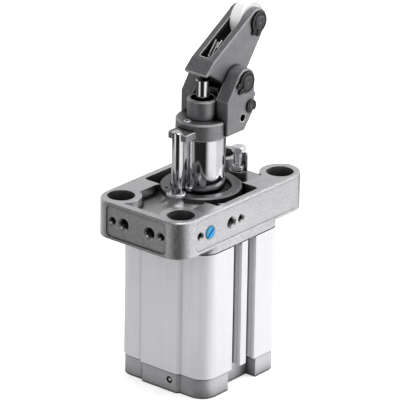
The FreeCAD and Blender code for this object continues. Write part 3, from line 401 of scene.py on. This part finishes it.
# a thin line of painted shade in every inner corner and joint, in the same order of values
seamShade = {
    "blastedCastAluminium": ("1A1A1C", 1.6, 0.9, 0.96, 0.7),
    "blastedCapAluminium": ("2A2A2C", 1.2, 0.85, 0.96, 0.7),
    "anodisedExtrudedAluminium": ("343438", 1.8, 0.95, 0.93, 0.65),
    "blastedCastSteel": ("0A0A0B", 1.0, 0.85, 0.92, 0.6),
}
# upward faces below the milled top are painted darker, partly as unmachined cast skin and partly as
# painted shade, and the turned ring round the rod is painted darker as shade;
# shade in hollows is only painted below the top of the casting; colours come with a strength
castSkinAndShade = {
    "blastedCastAluminium": {"milledFrom": 83.7, "top": 84.1, "blend": 0.2, "raw": ("B4B4B6", 0.9),
                             "ringRadius": 17.3, "ring": ("606063", 0.9)},
}
# metallic value on outer edges, lowered so that the painted edge highlight scatters into a bright
# line
edgeHighlightMetallic = {"blastedCastSteel": 0.25}
# stamped rings are grey on the faces across this axis, and their walls keep the finish's near black
# as painted shade
greyFacesShadedWalls = {"blackOxideSteel": ("343436", (0.0, 1.0, 0.0))}
# shared by all finishes; a pair says where a mask is 0 and where it is 1
shading = {
    "noise": (0.3, 0.7),
    "fleck": (0.35, 0.65),
    "patchDetail": 4.0,
    "grainDetail": 3.0,
    "upward": (0.3, 0.7),        # height of the normal
    "rubbed": (0.7, 0.95),        # share of the normal along the axis
    "rim": (0.985, 0.86),        # cosine between the true normal and the rounded one
    "outer": (0.68, 0.9),        # openness in an inner corner and on an outer edge
    "edgeSamples": 6,
    "hollowSamples": 8,
}


def addNoise(tree, place, size, detail):
    noise = addNode(tree, "ShaderNodeTexNoise", {"Scale": 1.0 / (size * mm), "Detail": detail},
                    {"Vector": place})
    return noise.outputs["Fac"]


def addCastSkinAndShade(tree, colour, skin, place, surface):
    # returns the colour with unmachined floors darkened partly as painted shade and the ring
    # painted darker as shade, and a mask for all below the top
    blend = skin["blend"]
    height = addNode(tree, "ShaderNodeSeparateXYZ", {}, {0: place}).outputs["Z"]
    facing = addNode(tree, "ShaderNodeSeparateXYZ", {}, {0: surface.outputs["Normal"]})
    upward = addRemap(tree, facing.outputs["Z"], shading["upward"])
    milled = (skin["milledFrom"] * mm, (skin["milledFrom"] - blend) * mm)
    # floors: unmachined cast skin and painted shade
    rawFloorShadeTint, rawFloorShadeStrength = skin["raw"]
    below = addRemap(tree, height, milled, (0.0, rawFloorShadeStrength))
    colour = addTint(tree, colour, addProduct(tree, below, upward), rawFloorShadeTint)
    flatPlace = addNode(tree, "ShaderNodeVectorMath",
                        {"operation": "MULTIPLY", 1: (1.0, 1.0, 0.0)}, {0: place})
    away = addNode(tree, "ShaderNodeVectorMath", {"operation": "LENGTH"},
                   {0: flatPlace.outputs[0]})
    ringEdge = ((skin["ringRadius"] + blend) * mm, skin["ringRadius"] * mm)
    # painted shade on the ring round the rod
    ringShadeTint, ringShadeStrength = skin["ring"]
    near = addRemap(tree, away.outputs["Value"], ringEdge, (0.0, ringShadeStrength))
    colour = addTint(tree, colour, near, ringShadeTint)
    belowTop = addRemap(tree, height, ((skin["top"] + blend) * mm, skin["top"] * mm))
    return colour, belowTop


def buildFinish(name, values):
    material = bpy.data.materials.new(name)
    tree = emptyTree(material)
    place = addNode(tree, "ShaderNodeTexCoord").outputs["Object"]
    surface = addNode(tree, "ShaderNodeNewGeometry")
    patches = addNoise(tree, place, values["patch"], shading["patchDetail"])
    tone = addNode(tree, "ShaderNodeMix",
                   {"data_type": "RGBA", 6: linearColour(values["colour"]),
                    7: linearColour(values["spread"])},
                   {0: addRemap(tree, patches, shading["noise"])})
    colour = tone.outputs[2]
    stretched = addNode(tree, "ShaderNodeMapping", {"Scale": values["stretch"]}, {0: place})
    grains = addNoise(tree, stretched.outputs[0], values["grain"], shading["grainDetail"])
    # painted shade: the ring walls stay near black while faces across the axis turn grey
    if name in greyFacesShadedWalls:
        bright, axis = greyFacesShadedWalls[name]
        facing = addNode(tree, "ShaderNodeVectorMath", {"operation": "DOT_PRODUCT", 1: axis},
                         {0: surface.outputs["True Normal"]})
        flat = addNode(tree, "ShaderNodeMath", {"operation": "ABSOLUTE"},
                       {0: facing.outputs["Value"]})
        colour = addTint(tree, colour, addRemap(tree, flat.outputs[0], shading["rubbed"]), bright)
    if values["speckle"]:
        fleck = addRemap(tree, grains, shading["fleck"],
                         (1 - values["speckle"], 1 + values["speckle"]))
        flecked = addNode(tree, "ShaderNodeVectorMath", {"operation": "SCALE"},
                          {0: colour, "Scale": fleck})
        colour = flecked.outputs[0]
    rough, spread = values["roughness"], values["roughnessSpread"]
    roughness = addRemap(tree, grains, shading["noise"], (rough - spread, rough + spread))
    if name in castSkinAndShade:
        colour, belowTop = addCastSkinAndShade(tree, colour, castSkinAndShade[name], place, surface)
    # both tables paint shade into the colour where ambient occlusion finds hollows, corners and
    # joints
    for table in (hollowShade, seamShade):
        if name not in table:
            continue
        dark, reach, strength, start, end = table[name]
        openness = addNode(tree, "ShaderNodeAmbientOcclusion",
                           {"samples": shading["hollowSamples"], "Distance": reach * mm})
        shadeMask = addRemap(tree, openness.outputs["AO"], (start, end), (0.0, strength))
        if table is hollowShade and name in castSkinAndShade:
            shadeMask = addProduct(tree, shadeMask, belowTop)
        colour = addTint(tree, colour, shadeMask, dark)
    bump = addNode(tree, "ShaderNodeBump", {"Strength": 1.0, "Distance": values["depth"] * mm},
                   {"Height": grains})
    # edges are rounded in the normal, and a highlight is painted along them in the finish's
    # highlight colour
    if values["edge"]:
        rounded = addNode(tree, "ShaderNodeBevel",
                          {"samples": shading["edgeSamples"], "Radius": values["edge"] * mm})
        tree.links.new(rounded.outputs[0], bump.inputs["Normal"])
        turn = addNode(tree, "ShaderNodeVectorMath", {"operation": "DOT_PRODUCT"},
                       {0: rounded.outputs[0], 1: surface.outputs["True Normal"]})
        rim = addRemap(tree, turn.outputs["Value"], shading["rim"], (0.0, values["wear"]))
        # the painted edge highlight is kept to outer edges, not inner corners
        if name in edgeHighlightMetallic:
            rim = addProduct(tree, rim, addRemap(tree, openness.outputs["AO"], shading["outer"]))
        colour = addTint(tree, colour, rim, values["worn"])
    shader = addNode(tree, "ShaderNodeBsdfPrincipled", {"Metallic": values["metallic"]},
                     {"Base Color": colour, "Roughness": roughness, "Normal": bump.outputs[0]})
    if name in edgeHighlightMetallic:
        metal = addRemap(tree, rim, (0.0, values["wear"]), (values["metallic"], edgeHighlightMetallic[name]))
        tree.links.new(metal, shader.inputs["Metallic"])
    addNode(tree, "ShaderNodeOutputMaterial", {}, {"Surface": shader.outputs[0]})
    return material


materials = {name: buildFinish(name, {**plainFinish, **values})
             for name, values in finishes.items()}

nodeFinishes = {
    "blastedCastAluminium": ["bearing_flange"],
    "blastedCapAluminium": ["end_cap"],
    "anodisedExtrudedAluminium": ["barrel"],
    "blastedCastSteel": ["clevis_head", "toggle_lever", "lock_pawl"],
    "chromedGroundSteel": ["piston_rod", "guide_rod", "guide_rod_bush", "shock_absorber_plunger"],
    "zincPlatedSteel": ["tie_screws", "release_screw", "release_lock_nut", "piston_screw",
                        "head_lock_screw"],
    "blackOxideSteel": ["pivot_pin_rings", "pawl_pin_rings", "roller_pin_rings",
                        "shock_absorber_body"],
    "hardenedGroundSteel": ["pivot_pin", "pawl_pin", "roller_pin"],
    "drawnSpringWire": ["pawl_spring", "return_spring"],
    "turnedAluminium": ["piston"],
    "mouldedBluePlastic": ["port_plug"],
    "turnedAcetal": ["roller"],
    "mouldedNitrileRubber": ["rod_seal", "rod_wiper", "flange_o_ring", "cap_o_ring",
                             "upper_cushion_ring", "lower_cushion_ring", "piston_seal"],
    "bearingBronze": ["rod_bush"],
    "sinteredBronze": ["vent_plug"],
    "bondedFerrite": ["magnet_ring"],
}
for finish, names in nodeFinishes.items():
    for name in names:
        nodes[name].data.materials.clear()
        nodes[name].data.materials.append(materials[finish])
print("materials built:", len(materials))

# small turned, threaded and moulded pieces, drawn finer than the solids they stand for, in mm
meshDetail = {
    "around": 72,
    "fineAround": 96,
    "smallAround": 48,
    "cornerShare": 0.45,        # most of an edge that a rounded corner may take up
    "sharpAngle": 28,        # degrees
}
# flanks steeper than a plain wave leave a flat share on the crest and in the root
threadShape = {"steepness": 1.3, "crestShare": 0.15, "rowsPerTurn": 8}


def softCorners(points, radius, steps):
    # rounds every inner corner of a profile of (radius, height)
    rounded = [points[0]]
    share = meshDetail["cornerShare"]
    for before, corner, after in zip(points, points[1:], points[2:]):
        a, b, c = Vector(before), Vector(corner), Vector(after)
        reach = min(radius, (a - b).length * share, (c - b).length * share)
        start, end = b + (a - b).normalized() * reach, b + (c - b).normalized() * reach
        for i in range(steps + 1):
            t = i / steps
            rounded.append(tuple(start * (1 - t) ** 2 + b * 2 * t * (1 - t) + end * t ** 2))
    rounded.append(points[-1])
    return rounded


def spinProfile(mesh, profile, segments=meshDetail["around"], closed=False, radiusAt=None):
    # turns a profile round Z; radiusAt gives an uneven radius, as on a hexagon or a thread
    rings = []
    for radius, height in profile:
        if radius == 0:
            rings.append([mesh.verts.new((0, 0, height * mm))])
            continue
        ring = []
        for i in range(segments):
            turn = 2 * math.pi * i / segments
            r, z = radiusAt(radius, height, turn) if radiusAt else (radius, height)
            ring.append(mesh.verts.new((math.cos(turn) * r * mm, math.sin(turn) * r * mm, z * mm)))
        rings.append(ring)
    if closed:
        rings.append(rings[0])
    for low, high in zip(rings, rings[1:]):
        for i in range(segments):
            j = (i + 1) % segments
            corners = [low[i % len(low)], low[j % len(low)],
                       high[j % len(high)], high[i % len(high)]]
            corners = list(dict.fromkeys(corners))
            if len(corners) > 2:
                mesh.faces.new(corners)


def threadRows(low, high, pitch):
    rows = max(2, round((high - low) / pitch * threadShape["rowsPerTurn"]))
    return [low + (high - low) * i / rows for i in range(rows + 1)]


def screwRadius(crest, root, pitch, low, high):
    # radius of a single-start thread that fades out over its last turn at both ends
    def at(height, turn):
        wave = abs(2 * ((height / pitch - turn / (2 * math.pi)) % 1) - 1)
        wave = min(1, max(0, wave * threadShape["steepness"] - threadShape["crestShare"]))
        fade = max(0, min(1, (height - low) / pitch, (high - height) / pitch))
        return crest + (root - crest) * wave * fade
    return at


def addPiece(name, mesh, finish, body, centre, axis=None, replaced=()):
    bmesh.ops.recalc_face_normals(mesh, faces=mesh.faces)
    data = bpy.data.meshes.new(name)
    mesh.to_mesh(data)
    mesh.free()
    data.materials.append(materials[finish])
    data.shade_smooth()
    data.set_sharp_from_angle(angle=math.radians(meshDetail["sharpAngle"]))
    piece = addObject(name, data)
    piece.location = centre
    if axis is not None:
        piece.rotation_mode = "QUATERNION"
        piece.rotation_quaternion = Vector(axis).to_track_quat("Z", "Y")
    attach(piece, body)
    if replaced:
        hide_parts(*replaced)


def middleOf(node):
    low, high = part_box(node)
    return (low + high) / 2, (high - low) / mm


def footOf(node):
    # the middle of a node's underside, and its size
    centre, size = middleOf(node)
    return (centre.x, centre.y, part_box(node)[0].z), size


hexagonHead = {"side": 60, "cone": 30}        # degrees of a side, and of the cone that turns it
# M3 has a 0.5 mm pitch; the turns are drawn coarser so that they show
releaseScrew = {"flats": 5.5, "faceCircle": 2.5, "headHeight": 2.4, "crest": 1.48, "core": 1.14,
                "runOut": 0.7, "pitch": 0.75}
releaseNut = {"flats": 5.0, "faceCircle": 2.3, "bore": 1.45}


def hexagonRadius(flats, faceCircle, middle):
    # hexagon with its corners turned back by a cone, so every flat ends in a shallow arc
    side, slope = hexagonHead["side"], math.tan(math.radians(hexagonHead["cone"]))

    def at(radius, height, turn):
        if radius < flats / 2:
            return radius, height
        corner = flats / 2 / math.cos(math.radians(math.degrees(turn) % side - side / 2))
        fall = (corner - faceCircle) * slope
        return corner, height - fall if height > middle else height + fall
    return at


def buildReleaseScrew(values):
    foot, size = footOf("release_screw")
    length = size.z
    seat = length - values["headHeight"]
    threadEnd = seat - values["runOut"]
    crest, circle, corner = values["crest"], values["faceCircle"], values["flats"] / 2
    hexagon = hexagonRadius(values["flats"], circle, length - values["headHeight"] / 2)
    screw = screwRadius(crest, values["core"], values["pitch"], 0, threadEnd)

    def radiusAt(radius, height, turn):
        if height <= threadEnd:
            return screw(height, turn), height
        return hexagon(radius, height, turn)

    profile = [(0, 0)] + [(crest, z) for z in threadRows(0, threadEnd, values["pitch"])]
    profile += [(crest, seat), (circle, seat), (corner, seat), (corner, length), (circle, length),
                (0, length)]
    mesh = bmesh.new()
    spinProfile(mesh, profile, radiusAt=radiusAt)
    addPiece("releaseScrew", mesh, "zincPlatedSteel", "housing", foot,
             replaced=["release_screw"])


def buildReleaseNut(values):
    foot, size = footOf("release_lock_nut")
    corner, circle, bore = values["flats"] / 2, values["faceCircle"], values["bore"]
    mesh = bmesh.new()
    profile = [(bore, 0), (circle, 0), (corner, 0), (corner, size.z), (circle, size.z),
               (bore, size.z)]
    spinProfile(mesh, profile, closed=True,
                radiusAt=hexagonRadius(values["flats"], circle, size.z / 2))
    addPiece("releaseNut", mesh, "zincPlatedSteel", "housing", foot,
             replaced=["release_lock_nut"])


buildReleaseScrew(releaseScrew)
buildReleaseNut(releaseNut)

# each pin has a groove for its rings, a chamfer and the lathe centre left in its end
pinEnd = {"chamfer": 0.45, "dimple": 0.55, "dimpleDepth": 0.4, "groove": 0.2, "rounding": 0.12,
          "roundSteps": 2}
pins = {
    "pivotPin": {"node": "pivot_pin", "rings": "pivot_pin_rings", "ringThickness": 0.8,
                 "body": "rod"},
    "pawlPin": {"node": "pawl_pin", "rings": "pawl_pin_rings", "ringThickness": 0.6,
                "body": "rod"},
    "rollerPin": {"node": "roller_pin", "rings": "roller_pin_rings", "ringThickness": 0.8,
                  "body": "lever"},
}


def buildPin(name, pin, end):
    centre, size = middleOf(pin["node"])
    radius, half = size.z / 2, size.y / 2
    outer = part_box(pin["rings"])[1].y / mm
    inner = outer - pin["ringThickness"]
    neck = radius - end["groove"]
    upper = [(radius, 0), (radius, inner), (neck, inner), (neck, outer), (radius, outer),
             (radius, half - end["chamfer"]), (radius - end["chamfer"], half),
             (end["dimple"], half), (0, half - end["dimpleDepth"])]
    lower = [(r, -z) for r, z in upper[:0:-1]]
    mesh = bmesh.new()
    spinProfile(mesh, softCorners(lower + upper, end["rounding"], end["roundSteps"]))
    addPiece(name, mesh, "hardenedGroundSteel", pin["body"], centre, (0, 1, 0),
             [pin["node"]])


for name, pin in pins.items():
    buildPin(name, pin, pinEnd)

# end and top are (along the lever, out of it) from the pivot pin; lean is in degrees
springBend = {"wire": 0.45, "apart": 1.6, "side": 1.7, "lean": 31.0, "end": (-0.8, 12.3),
              "top": (5.3, 14.4), "bendSteps": 12, "wireSides": 16}


def buildSpringBend(values):
    # the long leg turns round at its lower end and runs back up beside itself in the slot
    lean = math.radians(values["lean"])
    along = Vector((math.cos(lean), 0, math.sin(lean)))
    out = Vector((-math.sin(lean), 0, math.cos(lean)))
    end, top = (along * a + out * b for a, b in (values["end"], values["top"]))
    down, half = (end - top).normalized(), values["apart"] / 2
    middle = end + Vector((0, values["side"] - half, 0))
    steps, sides = values["bendSteps"], values["wireSides"]
    turns = [math.pi * i / steps for i in range(steps + 1)]
    line = [middle + down * half * math.sin(t) + Vector((0, half * math.cos(t), 0))
            for t in turns]
    headings = [down * math.cos(t) - Vector((0, math.sin(t), 0)) for t in turns]
    line.append(top + Vector((0, values["side"] - values["apart"], 0)))
    headings.append(-down)
    upright = down.cross(Vector((0, 1, 0)))
    mesh = bmesh.new()
    rings = []
    for place, heading in zip(line, headings):
        beside = upright.cross(heading)
        ring = []
        for i in range(sides):
            t = 2 * math.pi * i / sides
            spoke = (upright * math.cos(t) + beside * math.sin(t)) * values["wire"]
            ring.append(mesh.verts.new((place + spoke) * mm))
        rings.append(ring)
    for low, high in zip(rings, rings[1:]):
        for i in range(sides):
            mesh.faces.new((low[i - 1], low[i], high[i], high[i - 1]))
    mesh.faces.new(rings[0])
    mesh.faces.new(rings[-1])
    addPiece("springBend", mesh, "drawnSpringWire", "rod",
             middleOf("pivot_pin")[0])


buildSpringBend(springBend)

rollerShape = {"rim": 0.6, "rimWidth": 1.2, "hubWidth": 1.4, "webDepth": 0.35, "webSlope": 0.3,
               "bore": 3.03, "roundSteps": 5}


def buildRoller(values):
    centre, size = middleOf("roller")
    bore, radius, half = values["bore"], size.z / 2, size.y / 2
    hub, rim = bore + values["hubWidth"], radius - values["rimWidth"]
    web, slope = half - values["webDepth"], values["webSlope"]
    side = [(bore, half), (hub, half), (hub + slope, web), (rim - slope, web), (rim, half),
            (radius, half)]
    profile = [(bore, 0)] + side + [(radius, 0)] + [(r, -z) for r, z in reversed(side)]
    mesh = bmesh.new()
    profile = softCorners(profile, values["rim"], values["roundSteps"])
    spinProfile(mesh, profile, meshDetail["fineAround"], closed=True)
    addPiece("turnedRoller", mesh, "turnedAcetal", "roller", centre, (0, 1, 0),
             ["roller"])


buildRoller(rollerShape)

# the shoulder's height is a share of the whole height
wiperShape = {"gap": 0.03, "lipWidth": 0.35, "lean": 0.3, "lipFoot": 0.3, "channelDepth": 1.1,
              "channelWall": 1.1, "shoulderHeight": 0.7, "shoulderWidth": 0.8, "rounding": 0.2,
              "roundSteps": 3}


def buildWiper(values):
    foot, size = footOf("rod_wiper")
    outer, tall = size.x / 2, size.z
    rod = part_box("piston_rod")[1].x / mm + values["gap"]
    lip = rod + values["lipWidth"]
    shoulder, floor = tall * values["shoulderHeight"], tall - values["channelDepth"]
    profile = [(outer, 0), (outer, shoulder), (outer - values["shoulderWidth"], shoulder),
               (outer - values["channelWall"], floor),
               (lip + values["lean"] + values["lipFoot"], floor),
               (lip, tall), (rod, tall), (rod + values["lean"], 0)]
    mesh = bmesh.new()
    profile = softCorners(profile, values["rounding"], values["roundSteps"])
    spinProfile(mesh, profile, meshDetail["fineAround"], closed=True)
    addPiece("rodWiperLip", mesh, "mouldedNitrileRubber", "housing", foot,
             replaced=["rod_wiper"])


buildWiper(wiperShape)

guideBushShape = {"wall": 0.95, "roll": 0.45, "rollWidth": 0.25, "mouthWidth": 0.15,
                  "mouthDepth": 0.2, "rounding": 0.2, "roundSteps": 3}


def buildGuideBush(values):
    foot, size = footOf("guide_rod_bush")
    outer, tall = size.x / 2, size.z
    inner = outer - values["wall"]
    profile = [(outer, 0), (outer, tall - values["roll"]), (outer - values["rollWidth"], tall),
               (inner + values["mouthWidth"], tall), (inner, tall - values["mouthDepth"]),
               (inner, 0)]
    mesh = bmesh.new()
    profile = softCorners(profile, values["rounding"], values["roundSteps"])
    spinProfile(mesh, profile, closed=True)
    addPiece("guideBushRim", mesh, "zincPlatedSteel", "housing", foot,
             replaced=["guide_rod_bush"])


buildGuideBush(guideBushShape)

ventShape = {"seat": 0.9, "nose": 0.88, "play": 0.02, "domeSteps": 8}


def buildVent(values):
    centre, size = middleOf("vent_plug")
    radius, tall, nose = size.z / 2 - values["play"], size.x, values["nose"]
    lifts = [math.pi / 2 * i / values["domeSteps"] for i in range(values["domeSteps"])]
    dome = [(nose * math.cos(lift), tall - nose + nose * math.sin(lift)) for lift in lifts]
    profile = [(0, 0), (radius, 0), (radius, values["seat"]), (nose, values["seat"])]
    mesh = bmesh.new()
    spinProfile(mesh, profile + dome + [(0, tall)], meshDetail["smallAround"])
    addPiece("ventNose", mesh, "zincPlatedSteel", "housing",
             (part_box("vent_plug")[1].x, centre.y, centre.z), (-1, 0, 0), ["vent_plug"])


buildVent(ventShape)

mounts = {mount["name"]: mount for mount in frame["record"]["mounts"]}
# cut threads in the flange's ports (M5 x 0.8) and plate-screw holes (M4 x 0.7)
portThread = {"spacing": 0, "pitch": 0.8, "depth": 0.42, "long": 7.0}
plateThread = {"spacing": 26.0, "pitch": 0.7, "depth": 0.3, "long": 4.2}
tappedHoles = {
    "end_port_a": portThread,
    "end_port_b": portThread,
    "side_port_a": portThread,
    "end_plate_screws": plateThread,
    "side_plate_screws": plateThread,
}
# ends of the thread from the hole's bottom and mouth, and distances from the bore's wall
threadFit = {"fromBottom": 0.1, "fromMouth": 0.42, "fadeBelow": 1.0, "fadeAbove": 0.15,
             "rootPlay": 0.03, "leadPlay": 0.02, "behind": 0.04}


def buildTappedHole(name, hole, fit):
    mount = mounts[name]
    axis = Vector(mount["axis"])
    across = Vector((0, 0, 1)).cross(axis)
    bore = mount["dims"].get("r_mm") or mount["dims"]["hole_r_mm"]
    low, high = -hole["long"] / 2 + fit["fromBottom"], hole["long"] / 2 - fit["fromMouth"]
    lead = high - hole["depth"]
    thread = screwRadius(bore - hole["depth"], bore - fit["rootPlay"], hole["pitch"],
                         low - fit["fadeBelow"], lead + fit["fadeAbove"])
    behind = bore + fit["behind"]
    profile = [(behind, low)] + [(bore, z) for z in threadRows(low, lead, hole["pitch"])]
    profile += [(bore - fit["leadPlay"], high), (behind, high)]

    def radiusAt(radius, height, turn):
        return (thread(height, turn), height) if radius == bore else (radius, height)

    label = "tapped" + name.replace("_", " ").title().replace(" ", "")
    sides = {"A": -0.5, "B": 0.5} if hole["spacing"] else {"": 0}
    for letter, side in sides.items():
        mesh = bmesh.new()
        spinProfile(mesh, profile, meshDetail["smallAround"], closed=True, radiusAt=radiusAt)
        centre = Vector(mount["pos_m"]) + across * side * hole["spacing"] * mm
        addPiece(label + letter, mesh, "cutThreadAluminium", "housing", centre,
                 axis)


for name, hole in tappedHoles.items():
    buildTappedHole(name, hole, threadFit)
print("turned and threaded pieces built")
